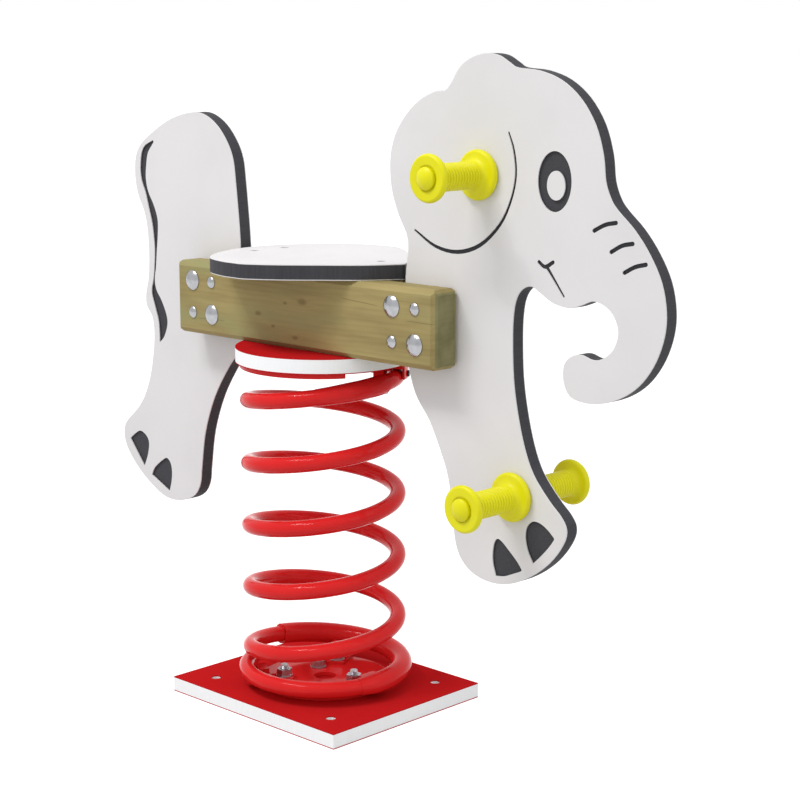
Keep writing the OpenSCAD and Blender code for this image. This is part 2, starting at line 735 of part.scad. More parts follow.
// A round plate with a notch beside the clamp block
module spring_top_plate() {
  notch_w = top_plate_d / 2 - notch_r + overrun;
  color(red) difference() {
    translate([0, 0, plate_z]) cylinder(d = top_plate_d, h = top_plate_t, $fn = 128);
    rotate([0, 0, block_deg - notch_before_deg]) translate([0, 0, plate_z - overrun])
      rotate_extrude(angle = notch_before_deg + notch_after_deg) translate([notch_r, 0])
        square([notch_w, top_plate_t + 2 * overrun]);
    at_deck_screws() translate([0, 0, plate_z - overrun])
      cylinder(d = deck_screw_d + 2 * hole_gap, h = top_plate_t + 2 * overrun);
    rotate([0, 0, upper_claw_deg]) translate([clamp_bolt_r, 0, plate_z - overrun])
      cylinder(d = clamp_bolt_d + 2 * hole_gap, h = top_plate_t + 2 * overrun);
  }
}

module at_deck_screws() {
  for (sx = [-1, 1], sy = [-1, 1]) {
    translate([sx * deck_screw_x, sy * deck_screw_y, 0]) children();
  }
}

module top_disc() {
  color(red) difference() {
    translate([0, 0, disc_z]) cylinder(d = disc_d, h = sheet_t, $fn = 128);
    at_deck_screws() translate([0, 0, disc_z - overrun])
      cylinder(d = deck_screw_d + 2 * hole_gap, h = sheet_t + 2 * overrun);
    for (place = [[block_deg, block_bolt_r], [upper_claw_deg, clamp_bolt_r]]) {
      rotate([0, 0, place[0]]) translate([place[1], 0, disc_z - overrun])
        cylinder(d = clamp_bolt_d + 2 * hole_gap, h = clamp_bite + seat_gap + overrun);
    }
  }
}

module deck_screws() {
  color(zinc) at_deck_screws() {
    translate([0, 0, plate_z - deck_screw_head_h])
      cylinder(d = deck_screw_head_d, h = deck_screw_head_h, $fn = 6);
    translate([0, 0, plate_z - deck_screw_head_h])
      cylinder(d = deck_screw_d, h = deck_screw_head_h + top_plate_t + sheet_t + deck_screw_bite);
  }
}

// Beams

module beam(side) {
  bolt_hole_d = (side < 0 ? bolt_d : nut_sleeve_d) + 2 * hole_gap;
  color(timber) difference() {
    translate([beam_x, side * (beam_side + beam_t / 2), beam_mid])
      chamfered(beam_l, beam_t, beam_h, beam_chamfer);
    at_bolts() along_y(bolt_hole_d, -beam_face - overrun, beam_face + overrun);
    at_screws() along_y(screw_d + 2 * hole_gap, -beam_face - overrun, beam_face + overrun);
    at_deck_screws() translate([0, 0, beam_z - overrun])
      cylinder(d = deck_screw_d + 2 * hole_gap, h = deck_screw_bite + seat_gap + overrun);
    translate([-seat_screw_back, side * seat_screw_y, seat_z - seat_screw_bite])
      cylinder(d = screw_d + 2 * hole_gap, h = seat_screw_bite + overrun);
  }
}

module right_beam() {
  beam(-1);
}

module left_beam() {
  beam(1);
}

module beam_spacer() {
  color(timber) difference() {
    translate([spacer_x - spacer_l / 2, -sheet_t / 2, beam_z]) cube([spacer_l, sheet_t, beam_h]);
    translate([spacer_x, 0, seat_z - seat_screw_bite])
      cylinder(d = screw_d + 2 * hole_gap, h = seat_screw_bite + overrun);
  }
}

module beam_bolts() {
  color(zinc) at_bolts() {
    translate([0, -beam_face, 0]) rotate([90, 0, 0]) dome(bolt_head_d, bolt_head_h);
    along_y(bolt_d, -beam_face, beam_side + nut_thread_l);
  }
}

module beam_sleeve_nuts() {
  color(zinc) at_bolts() difference() {
    union() {
      translate([0, beam_face, 0]) rotate([-90, 0, 0]) dome(bolt_head_d, bolt_head_h);
      along_y(nut_sleeve_d, beam_side, beam_face);
    }
    along_y(bolt_d + 2 * hole_gap, beam_side - overrun, beam_side + nut_thread_l + seat_gap);
  }
}

module side_screws(side) {
  from = side < 0 ? -beam_face : beam_side - screw_bite;
  color(zinc) at_screws() {
    translate([0, side * beam_face, 0]) rotate([-side * 90, 0, 0]) dome(screw_head_d, screw_head_h);
    along_y(screw_d, from, from + beam_t + screw_bite);
  }
}

module right_beam_screws() {
  side_screws(-1);
}

module left_beam_screws() {
  side_screws(1);
}

// Panels

module joint_holes(joint_x) {
  at_grid(joint_x, 1) along_y(bolt_d + 2 * hole_gap, -sheet_t, sheet_t);
  at_grid(joint_x, -1) along_y(screw_d + 2 * hole_gap, -sheet_t, sheet_t);
}

module front_panel() {
  color(white) difference() {
    translate([front_x, 0, front_z]) difference() {
      flat_sheet(closed_curve(sized(front_shares, front_w, front_h)));
      milled(stroke(sized(ear_shares, front_w, front_h)));
      for (line = brow_shares) {
        milled(stroke(sized(line, front_w, front_h)));
      }
      milled(stroke(sized(lip_shares, front_w, front_h)));
      milled(stroke(sized(smile_shares, front_w, front_h)));
      difference() {
        milled(eye(eye_shares));
        flat_sheet(eye(pupil_shares));
      }
      for (sides = front_nail_shares) {
        milled(nail([for (s = sides) sized(s, front_w, front_h)]));
      }
      for (place = [handgrip_shares, footrest_shares]) {
        translate([place.x * front_w, 0, place.y * front_h])
          along_y(rod_d + 2 * hole_gap, -sheet_t, sheet_t);
      }
    }
    joint_holes(front_joint_x);
  }
}

function eye(s) = ellipse(s[0] * front_w, s[1] * front_h, s[2] * front_w, s[3] * front_h);

module rear_panel() {
  color(white) difference() {
    translate([rear_x, 0, rear_z]) difference() {
      flat_sheet(closed_curve(sized(rear_shares, rear_w, rear_h)));
      milled(stroke(sized(tail_shares, rear_w, rear_h)));
      for (sides = rear_nail_shares) {
        milled(nail([for (s = sides) sized(s, rear_w, rear_h)]));
      }
    }
    joint_holes(rear_joint_x);
  }
}

// Seat

module at_seat_screws() {
  translate([-seat_screw_back, -seat_screw_y, seat_z]) children();
  translate([-seat_screw_back, seat_screw_y, seat_z]) children();
  translate([spacer_x, 0, seat_z]) children();
}

module seat_plate() {
  half = sized(seat_shares, seat_l, seat_w / 2);
  other = [for (i = [len(half) - 2 : -1 : 1]) [half[i].x, -half[i].y]];
  color(white) difference() {
    translate([-seat_back, 0, seat_z]) linear_extrude(sheet_t) polygon(closed_curve(concat(half, other)));
    at_seat_screws() {
      translate([0, 0, -overrun]) cylinder(d = screw_d + 2 * hole_gap, h = sheet_t + 2 * overrun);
      translate([0, 0, sheet_t - seat_screw_sink])
        cylinder(d = seat_screw_head_d + 2 * hole_gap, h = seat_screw_sink + overrun);
    }
  }
}

module seat_screws() {
  color(zinc) at_seat_screws() {
    translate([0, 0, sheet_t - seat_screw_sink]) cylinder(d = seat_screw_head_d, h = seat_screw_head_h);
    translate([0, 0, seat_gap - seat_screw_bite])
      cylinder(d = screw_d, h = sheet_t - seat_screw_sink + seat_screw_bite);
  }
}

// Grips

// A rounded flange rim, from its side near the panel to its far side
function rim(d, from) =
  [for (t = [-90 : 22.5 : 90])
    [d / 2 - grip_rim_r + grip_rim_r * cos(t), from + flange_t / 2 * (1 + sin(t))]];

// Half section of a grip: radius, then distance from the panel
function grip_section() =
  let (
    b = barrel_d / 2,
    bore = rod_d / 2 + hole_gap,
    recess_r = cap_d / 2 + grip_recess_rim,
    ribs_from = flange_t + flange_dish,
    ribs_to = grip_l - ribs_from,
    rib = (ribs_to - ribs_from) / grip_ribs
  )
  concat(
    [[bore, 0]],
    rim(flange_d, 0),
    [[(flange_d / 2 + b) / 2, flange_t + flange_dish / 3]],
    [for (i = [0 : grip_ribs - 1], k = [0, 1]) [b + k * rib_h, ribs_from + (i + k / 2) * rib]],
    [[b, ribs_to], [(end_flange_d / 2 + b) / 2, grip_l - flange_t - flange_dish / 3]],
    rim(end_flange_d, grip_l - flange_t),
    [[recess_r, grip_l], [recess_r, grip_l - grip_recess_d], [bore, grip_l - grip_recess_d]]
  );

module at_handgrip() {
  translate([front_x + handgrip_shares.x * front_w, 0, front_z + handgrip_shares.y * front_h]) children();
}

module at_footrest() {
  translate([front_x + footrest_shares.x * front_w, 0, front_z + footrest_shares.y * front_h]) children();
}

module grip(side) {
  color(yellow) translate([0, side * sheet_t / 2, 0]) rotate([-side * 90, 0, 0])
    rotate_extrude() polygon(grip_section());
}

grip_seat = sheet_t / 2 + grip_l - grip_recess_d;
rod_half = grip_seat + cap_band_h - rod_end_gap;

module grip_rod() {
  color(zinc) along_y(rod_d, -rod_half, rod_half);
}

// A round cap nut on each end of the rod
module grip_caps() {
  color(yellow) for (side = [-1, 1]) {
    translate([0, side * grip_seat, 0]) rotate([-side * 90, 0, 0]) difference() {
      union() {
        cylinder(d = cap_d, h = cap_band_h);
        translate([0, 0, cap_band_h]) dome(cap_d, cap_dome_h);
      }
      translate([0, 0, -overrun])
        cylinder(d = rod_d + 2 * hole_gap, h = rod_half - grip_seat + seat_gap + overrun);
    }
  }
}

module right_handgrip() {
  at_handgrip() grip(-1);
}

module left_handgrip() {
  at_handgrip() grip(1);
}

module handgrip_rod() {
  at_handgrip() grip_rod();
}

module handgrip_caps() {
  at_handgrip() grip_caps();
}

module right_footrest() {
  at_footrest() grip(-1);
}

module left_footrest() {
  at_footrest() grip(1);
}

module footrest_rod() {
  at_footrest() grip_rod();
}

module footrest_caps() {
  at_footrest() grip_caps();
}

base_plate();
spring_foot_plate();
lower_clamps();
lower_clamp_bolts();
lower_clamp_washers();
lower_clamp_nuts();
lower_coil_sleeve();
coil_spring();
upper_coil_sleeve();
upper_clamp_block();
upper_clamp_claw();
upper_clamp_bolts();
spring_top_plate();
top_disc();
deck_screws();
right_beam();
left_beam();
beam_spacer();
front_panel();
rear_panel();
beam_bolts();
beam_sleeve_nuts();
right_beam_screws();
left_beam_screws();
seat_plate();
seat_screws();
right_handgrip();
left_handgrip();
handgrip_rod();
handgrip_caps();
right_footrest();
left_footrest();
footrest_rod();
footrest_caps();
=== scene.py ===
# Spring rider: two elephant panels between timber beams, on one coil spring and a base plate.
import math

import bpy
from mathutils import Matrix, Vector


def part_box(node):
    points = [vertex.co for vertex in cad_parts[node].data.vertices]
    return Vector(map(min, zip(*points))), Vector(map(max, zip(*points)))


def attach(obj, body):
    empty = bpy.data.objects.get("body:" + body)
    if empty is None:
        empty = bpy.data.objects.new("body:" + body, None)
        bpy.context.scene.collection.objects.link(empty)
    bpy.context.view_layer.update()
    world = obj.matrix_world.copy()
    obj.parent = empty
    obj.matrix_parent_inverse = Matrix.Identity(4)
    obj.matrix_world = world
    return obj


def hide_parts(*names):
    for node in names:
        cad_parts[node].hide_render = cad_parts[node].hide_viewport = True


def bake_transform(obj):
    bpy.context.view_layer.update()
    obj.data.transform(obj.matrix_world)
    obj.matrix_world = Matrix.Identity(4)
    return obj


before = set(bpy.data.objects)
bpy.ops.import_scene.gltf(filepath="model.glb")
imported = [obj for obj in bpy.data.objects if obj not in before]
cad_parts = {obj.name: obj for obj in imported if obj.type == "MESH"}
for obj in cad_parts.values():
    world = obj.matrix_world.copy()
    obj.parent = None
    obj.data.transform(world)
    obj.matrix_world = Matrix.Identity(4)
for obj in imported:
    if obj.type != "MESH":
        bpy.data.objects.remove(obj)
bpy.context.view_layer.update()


# Base plate: a square of three-layer sheet, thin red skins over a white core, sawn to size.
# It is drilled for the ground anchors and the clamp bolts, and its edges are broken by hand.
MM = 0.001
weld_gap = 0.002 * MM
flat_deg = 0.4
sheet_t = 19 * MM
skin_t = 1.35 * MM
sheet_break = 0.7 * MM
cutter_marks, cutter_marks_across = 500, 30
sheet_grain = 0.08 * MM


def select_only(piece):
    if bpy.context.object and bpy.context.object.mode != "OBJECT":
        bpy.ops.object.mode_set(mode="OBJECT")
    bpy.ops.object.select_all(action="DESELECT")
    bpy.context.view_layer.objects.active = piece
    piece.select_set(True)


def welded(node, name):
    """A copy of a CAD piece, its triangles joined into whole faces."""
    piece = bpy.data.objects.new(name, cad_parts[node].data.copy())
    bpy.context.scene.collection.objects.link(piece)
    select_only(piece)
    if piece.data.has_custom_normals:
        bpy.ops.mesh.customdata_custom_splitnormals_clear()
    bpy.ops.object.mode_set(mode="EDIT")
    bpy.ops.mesh.select_all(action="SELECT")
    bpy.ops.mesh.remove_doubles(threshold=weld_gap)
    bpy.ops.mesh.dissolve_limited(angle_limit=math.radians(flat_deg))
    bpy.ops.object.mode_set(mode="OBJECT")
    return piece


def corners(piece, least_deg=50):
    """Outward edges whose faces turn by more than least_deg, each with its two faces."""
    beside = {}
    for face in piece.data.polygons:
        for key in face.edge_keys:
            beside.setdefault(key, []).append(face)
    found = []
    for edge in piece.data.edges:
        pair = beside.get(edge.key, [])
        if len(pair) != 2:
            continue
        one, two = sorted(pair, key=lambda face: -face.area)
        outward = (two.center - one.center).dot(one.normal) < 0
        if outward and one.normal.angle(two.normal) > math.radians(least_deg):
            found.append((edge, one, two))
    return found


def break_edges(piece, edges, width, segments=2):
    """Rounds the given edges by hand file."""
    select_only(piece)
    for part in (piece.data.vertices, piece.data.edges, piece.data.polygons):
        part.foreach_set("select", [False] * len(part))
    for edge in edges:
        edge.select = True
    bpy.ops.object.mode_set(mode="EDIT")
    bpy.ops.mesh.select_mode(type="EDGE")
    bpy.ops.mesh.bevel(offset=width, segments=segments, profile=0.5, affect="EDGES", clamp_overlap=True)
    bpy.ops.object.mode_set(mode="OBJECT")


def smooth(piece, angle_deg=40):
    """Shades rounded parts smoothly and keeps large faces flat."""
    select_only(piece)
    bpy.ops.object.shade_smooth_by_angle(angle=math.radians(angle_deg))
    flat = piece.modifiers.new("flat_faces", "WEIGHTED_NORMAL")
    flat.keep_sharp = True
    bpy.ops.object.modifier_apply(modifier=flat.name)


def filed(node, name, width, corner_deg=50, smooth_deg=40):
    """A welded copy of a CAD piece with all its outward corners rounded."""
    piece = welded(node, name)
    break_edges(piece, [edge for edge, one, two in corners(piece, corner_deg)], width)
    smooth(piece, smooth_deg)
    return piece


def settle(piece, finish, body, slot, *nodes):
    """Gives a piece its finish and its body, and hides the CAD pieces it stands for. The slot is not used.
    """
    piece.data.materials.clear()
    piece.data.materials.append(finish)
    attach(piece, body)
    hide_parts(*nodes)


class Shade:
    """One output in a material's nodes. Sums and products of it add Math nodes."""

    def __init__(self, tree, socket):
        self.tree = tree
        self.socket = socket

    def node(self, kind, settings, inputs, out=0):
        made = self.tree.nodes.new("ShaderNode" + kind)
        for key, value in settings.items():
            if key == "stops":
                ramp = made.color_ramp
                while len(ramp.elements) < len(value):
                    ramp.elements.new(0.5)
                for element, (position, colour) in zip(ramp.elements, value):
                    element.position = position
                    element.color = colour
            else:
                setattr(made, key, value)
        for key, value in inputs.items():
            if isinstance(value, Shade):
                self.tree.links.new(value.socket, made.inputs[key])
            else:
                made.inputs[key].default_value = value
        return Shade(self.tree, made.outputs[out])

    def math(self, operation, a, b=0.0):
        return self.node("Math", {"operation": operation}, {0: a, 1: b})

    def __add__(self, other):
        return self.math("ADD", self, other)

    def __sub__(self, other):
        return self.math("SUBTRACT", self, other)

    def __rsub__(self, other):
        return self.math("SUBTRACT", other, self)

    def __mul__(self, other):
        return self.math("MULTIPLY", self, other)

    def __truediv__(self, other):
        return self.math("DIVIDE", self, other)

    def __lt__(self, other):
        return self.math("LESS_THAN", self, other)

    def __abs__(self):
        return self.math("ABSOLUTE", self)

    __radd__ = __add__
    __rmul__ = __mul__

    def axis(self, name):
        return self.node("SeparateXYZ", {}, {"Vector": self}, name)

    def stretched(self, scale, offset=(0, 0, 0)):
        return self.node("Mapping", {}, {"Vector": self, "Scale": scale, "Location": offset})

    def noise(self, scale, detail=2.0):
        return self.node("TexNoise", {}, {"Vector": self, "Scale": scale, "Detail": detail}, "Fac")

    def between(self, low, high, to_low=0.0, to_high=1.0):
        """A soft step from to_low at low to to_high at high."""
        settings = {"interpolation_type": "SMOOTHSTEP"}
        inputs = {"Value": self, "From Min": low, "From Max": high, "To Min": to_low, "To Max": to_high}
        return self.node("MapRange", settings, inputs)

    def mix(self, first, second):
        """The first colour where this value is 0, the second where it is 1."""
        return self.node("Mix", {"data_type": "RGBA"}, {0: self, 6: first, 7: second}, 2)

    def bump(self, distance, strength=1.0):
        return self.node("Bump", {}, {"Height": self, "Distance": distance, "Strength": strength}, "Normal")


def paint(red, green, blue):
    """A colour written as it looks on a screen, 0 to 255."""
    shown = [value / 255 for value in (red, green, blue)]
    return (*[s / 12.92 if s <= 0.04045 else ((s + 0.055) / 1.055) ** 2.4 for s in shown], 1.0)


def new_finish(name, constants):
    """A new material with fixed values set, and its object coordinates."""
    material = bpy.data.materials.new(name)
    material.use_nodes = True
    tree = material.node_tree
    for socket, value in constants.items():
        tree.nodes["Principled BSDF"].inputs[socket].default_value = value
    coordinates = tree.nodes.new("ShaderNodeTexCoord")
    return material, Shade(tree, coordinates.outputs["Object"])


def feed(material, links):
    tree = material.node_tree
    for socket, shade in links.items():
        tree.links.new(shade.socket, tree.nodes["Principled BSDF"].inputs[socket])


def sheet_finish(name, across, middle, skin, core, shine):
    """Three-layer sheet. Across is the axis through it, and middle the place of its mid-plane."""
    material, place = new_finish(name, {"Specular IOR Level": shine})
    depth = abs(place.axis(across) - middle)
    in_core = depth < sheet_t / 2 - skin_t
    cloud = place.noise(9, 3)
    grain = place.noise(1400, 2)
    cutter_steps = [cutter_marks] * 3
    cutter_steps["XYZ".index(across)] = cutter_marks_across
    cutter = place.stretched(cutter_steps).noise(1, 2)
    skins = cloud.between(0.35, 0.7).mix(*skin)
    cores = cutter.between(0.3, 0.75).mix(*core)
    scuffs = place.stretched((40, 40, 300)).noise(1, 4).between(0.62, 0.8)
    feed(material, {
        "Base Color": in_core.mix(skins, cores),
        "Roughness": 0.52 + 0.08 * cloud + 0.08 * in_core + 0.05 * scuffs,
        "Normal": (grain * (1 - in_core) + cutter * in_core).bump(sheet_grain, 0.25),
    })
    return material


base_middle = sheet_t / 2
red_skin = (paint(190, 31, 33), paint(184, 28, 31))
white_core = (paint(251, 252, 253), paint(248, 249, 251))
red_shine = 0.0
base_finish = sheet_finish("red_sheet_flat", "Z", base_middle, red_skin, white_core, red_shine)
base_plate = filed("base_plate", "base_plate_sheet", sheet_break)
settle(base_plate, base_finish, "base", "red_sheet", "base_plate")


# Spring foot plate: a round of flat steel on the base plate, painted red, with a hole in the
# middle. The clamps that hold the spring are bolted down on it.
steel_break = 0.9 * MM
paint_gloss = 0.085
paint_peel = 0.2 * MM


def painted_steel(name, colour, colour_deep):
    """Glossy powder coat with a faint orange peel."""
    material, place = new_finish(name, {"Specular IOR Level": paint_gloss})
    cloud = place.noise(14, 3)
    peel = place.noise(420, 2)
    dust = place.noise(90, 4).between(0.6, 0.8)
    feed(material, {
        "Base Color": cloud.between(0.3, 0.7).mix(colour, colour_deep),
        "Roughness": 0.08 + 0.03 * cloud + 0.03 * dust,
        "Normal": peel.bump(paint_peel, 0.12),
    })
    return material


red_paint = painted_steel("red_powder_coat", paint(220, 40, 41), paint(214, 37, 38))
foot_plate = filed("spring_foot_plate", "spring_foot_plate_steel", steel_break)
settle(foot_plate, red_paint, "base", "red_steel", "spring_foot_plate")


# Lower clamps: three bent steel claws, painted red, each bolted through foot plate and base. The
# claw on the bare wire has a heel under the bottom turn, and those at the hose grip it from inside.
lower_clamps = filed("lower_clamps", "lower_clamp_claws", steel_break)
settle(lower_clamps, red_paint, "base", "red_steel", "lower_clamps")


# Clamp bolts, washers and nuts: zinc-plated steel. The bolts stand in the base plate with
# their heads below. Three nuts are run down on the claws, and one on the foot plate itself.
clamp_bolt_reach = 52 * MM
clamp_bolt_degs = (0, 120, 240)
spare_bolt_place = (-30 * MM, 16.5 * MM, 0)
clamp_bolt_low = 0.3 * MM
clamp_bolt_head_r = 9 * MM
clamp_bolt_head_h = 7 * MM
clamp_bolt_r = 5 * MM
clamp_bolt_tip = 44.5 * MM
thread_pitch = 1.5 * MM
thread_depth = 0.8 * MM
thread_length = 18 * MM
nut_break = 0.8 * MM
washer_break = 0.4 * MM
zinc_streak = 0.05 * MM


def turned(name, rings, sides=48):
    """A lathe piece about the Z axis from rings of (radius, height). A last radius of 0 closes it."""
    bpy.ops.object.select_all(action="DESELECT")
    radius, height = rings[0]
    bpy.ops.mesh.primitive_circle_add(vertices=sides, radius=radius, location=(0, 0, height))
    piece = bpy.context.object
    piece.name = name
    bpy.ops.object.transform_apply(location=True, rotation=True, scale=True)
    bpy.ops.object.mode_set(mode="EDIT")
    bpy.ops.mesh.select_all(action="SELECT")
    for next_radius, next_height in rings[1:]:
        rise = {"value": (0, 0, next_height - height)}
        bpy.ops.mesh.extrude_region_move(TRANSFORM_OT_translate=rise)
        if next_radius == 0:
            bpy.ops.mesh.merge(type="CENTER")
            break
        grow = next_radius / radius
        bpy.ops.transform.resize(value=(grow, grow, 1), center_override=(0, 0, next_height))
        radius, height = next_radius, next_height
    bpy.ops.mesh.select_all(action="SELECT")
    bpy.ops.mesh.remove_doubles(threshold=weld_gap)
    bpy.ops.mesh.select_all(action="DESELECT")
    bpy.ops.mesh.select_mode(type="EDGE")
    bpy.ops.mesh.select_non_manifold()
    bpy.ops.mesh.edge_face_add()
    bpy.ops.mesh.select_all(action="SELECT")
    bpy.ops.mesh.normals_make_consistent(inside=False)
    bpy.ops.object.mode_set(mode="OBJECT")
    return piece


def placed(pattern, name, places):
    """Copies of a lathe piece, each turned and moved to (place, turn), joined as one piece."""
    copies = []
    for spot, turn in places:
        made = bpy.data.objects.new(name, pattern.data.copy())
        bpy.context.scene.collection.objects.link(made)
        made.location = spot
        made.rotation_euler = turn
        copies.append(made)
    bpy.data.objects.remove(pattern)
    select_only(copies[0])
    for made in copies:
        made.select_set(True)
    bpy.ops.object.transform_apply(location=True, rotation=True, scale=True)
    if len(copies) > 1:
        bpy.ops.object.join()
    copies[0].name = name
    return copies[0]


def zinc_plate(name):
    """Zinc plating: grey-blue metal with faint rubbed streaks."""
    material, place = new_finish(name, {"Metallic": 1.0})
    cloud = place.noise(120, 3)
    rubbed = place.stretched((300, 300, 2500)).noise(1, 3)
    feed(material, {
        "Base Color": cloud.between(0.3, 0.7).mix(paint(196, 199, 204), paint(176, 178, 182)),
        "Roughness": 0.24 + 0.14 * cloud + 0.08 * rubbed,
        "Normal": rubbed.bump(zinc_streak, 0.25),
    })
    return material


zinc = zinc_plate("zinc_plating")
thread_from = clamp_bolt_tip - thread_length
thread_turns = int((thread_length - thread_pitch) / thread_pitch)
bolt_rings = [
    (clamp_bolt_head_r, clamp_bolt_low), (clamp_bolt_head_r, clamp_bolt_low + clamp_bolt_head_h),
    (clamp_bolt_r, clamp_bolt_low + clamp_bolt_head_h), (clamp_bolt_r, thread_from),
]
for turn in range(thread_turns):
    crest = thread_from + turn * thread_pitch
    bolt_rings.append((clamp_bolt_r - thread_depth, crest + thread_pitch / 2))
    bolt_rings.append((clamp_bolt_r, crest + thread_pitch))
bolt_rings += [(clamp_bolt_r - thread_depth, clamp_bolt_tip), (0, clamp_bolt_tip)]
clamp_bolt_places = [(spare_bolt_place, (0, 0, 0))]
for deg in clamp_bolt_degs:
    toward = Vector((math.cos(math.radians(deg)), math.sin(math.radians(deg)), 0))
    clamp_bolt_places.append((toward * clamp_bolt_reach, (0, 0, 0)))
clamp_bolts = placed(turned("clamp_bolt", bolt_rings, 32), "lower_clamp_bolts_threaded", clamp_bolt_places)
smooth(clamp_bolts, 30)
settle(clamp_bolts, zinc, "base", "zinc", "lower_clamp_bolts")
for node, piece_name, width in (
    ("lower_clamp_washers", "lower_clamp_washers_edged", washer_break),
    ("lower_clamp_nuts", "lower_clamp_nuts_edged", nut_break),
):
    settle(filed(node, piece_name, width), zinc, "base", "zinc", node)


# Coil spring: one round steel wire, wound right-handed and powder coated red. Its bottom turn
# lies flat in the clamps and its top turn under the steel plate. It is made in three
# stretches, cut at two heights along the wire. The spring gives three ways: shorter, fore and aft, and
# sideways.
wire_r = 10 * MM
coil_r = 91.5 * MM
first_turn_grow = 6 * MM
turn_rise = 78 * MM
wire_low = 39.3 * MM
wire_high = 409.7 * MM
coil_start_deg = 210
flat_low_deg, ease_low_deg, ease_high_deg, flat_high_deg = 115, 277, 110, 54
wire_step_deg = 4
cut_edge_deg = 0.02
rise_per_deg = turn_rise / 360
rise_from = flat_low_deg + ease_low_deg
rise_to = rise_from + (wire_high - wire_low) / rise_per_deg - (ease_low_deg + ease_high_deg) / 2
flat_from = rise_to + ease_high_deg
coil_deg = flat_from + flat_high_deg
cut_heights = (144 * MM, 248 * MM)
bend_spans = ((70 * MM, 133 * MM), (155 * MM, 237 * MM), (259 * MM, 397 * MM))
wire_bodies = (("base", "spring"), ("spring", "spring_head"), ("spring_head", "rider"))


def wire_height(deg):
    if deg < flat_low_deg:
        return wire_low
    if deg < rise_from:
        return wire_low + rise_per_deg * (deg - flat_low_deg) ** 2 / (2 * ease_low_deg)
    if deg < rise_to:
        return wire_low + rise_per_deg * (deg - rise_from + ease_low_deg / 2)
    if deg < flat_from:
        return wire_high - rise_per_deg * (flat_from - deg) ** 2 / (2 * ease_high_deg)
    return wire_high


def wire_point(deg):
    reach = coil_r + first_turn_grow * (1 - min(1, max(0, deg / rise_from)) ** 2)
    turn = math.radians(coil_start_deg + deg)
    return Vector((reach * math.cos(turn), reach * math.sin(turn), wire_height(deg)))


def wire_degs(low, high):
    """Steps along the wire, with one more close to each end, so that an end's ring is square to it."""
    count = max(2, round((high - low) / wire_step_deg))
    inner = [low + (high - low) * i / count for i in range(1, count)]
    return [low, low + cut_edge_deg, *inner, high - cut_edge_deg, high]


def tube(name, points, radii, capped):
    """A round tube along points, with a radius at each."""
    bpy.ops.object.select_all(action="DESELECT")
    bpy.ops.curve.primitive_nurbs_path_add()
    piece = bpy.context.object
    piece.name = name
    line = piece.data
    line.splines.clear()
    spline = line.splines.new("POLY")
    spline.points.add(len(points) - 1)
    for point, place, radius in zip(spline.points, points, radii):
        point.co = (*place, 1)
        point.radius = radius / MM
    line.twist_mode = "Z_UP"
    line.bevel_depth = MM
    line.bevel_resolution = 6
    line.use_fill_caps = capped
    bpy.ops.object.convert(target="MESH")
    piece = bpy.context.object
    bpy.ops.object.mode_set(mode="EDIT")
    bpy.ops.mesh.select_all(action="SELECT")
    bpy.ops.mesh.remove_doubles(threshold=weld_gap)
    bpy.ops.mesh.normals_make_consistent(inside=False)
    bpy.ops.object.mode_set(mode="OBJECT")
    return piece


def wire_deg_at(height):
    """How far along the wire, in degrees, the evenly rising part reaches a height."""
    return rise_from - ease_low_deg / 2 + (height - wire_low) / rise_per_deg


wire_cuts = [0, *[wire_deg_at(height) for height in cut_heights], coil_deg]
for index, (lower_body, upper_body) in enumerate(wire_bodies):
    route = [wire_point(deg) for deg in wire_degs(wire_cuts[index], wire_cuts[index + 1])]
    if index == 0:
        route.insert(0, route[0] + (route[0] - route[1]).normalized() * 2 * wire_r)
    if index == len(wire_bodies) - 1:
        route.append(route[-1] + (route[-1] - route[-2]).normalized() * 2 * wire_r)
    stretch = tube(f"coil_spring_stretch_{index + 1}", route, [wire_r] * len(route), True)
    select_only(stretch)
    bpy.ops.object.shade_smooth_by_angle(angle=math.radians(40))
    stretch.data.materials.append(red_paint)
    low, high = bend_spans[index]
    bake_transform(stretch)
    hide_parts("coil_spring")


# Hoses: pieces of red rubber hose pushed over the wire near both ends of the spring, so that
# steel doesn't rub on steel. One end is a square lip, and the other is drawn out thin.
hose_bore_r = 10.3 * MM
hose_thin_r = 10.42 * MM
hose_step_deg = 3
hose_pore = 0.1 * MM
lower_hose_degs = (131.2, 324.1)
lower_hose_r = 13 * MM
lower_taper_deg = 14
upper_hose_degs = (1901.8, 1958.5)
upper_hose_r = 12 * MM
upper_taper_deg = 24


def open_edges(piece):
    """Edges with a face on one side only."""
    uses = {}
    for face in piece.data.polygons:
        for key in face.edge_keys:
            uses[key] = uses.get(key, 0) + 1
    return [edge for edge in piece.data.edges if uses.get(edge.key, 0) == 1]


def edge_middle(piece, edge):
    first, second = (piece.data.vertices[index].co for index in edge.vertices)
    return (first + second) / 2


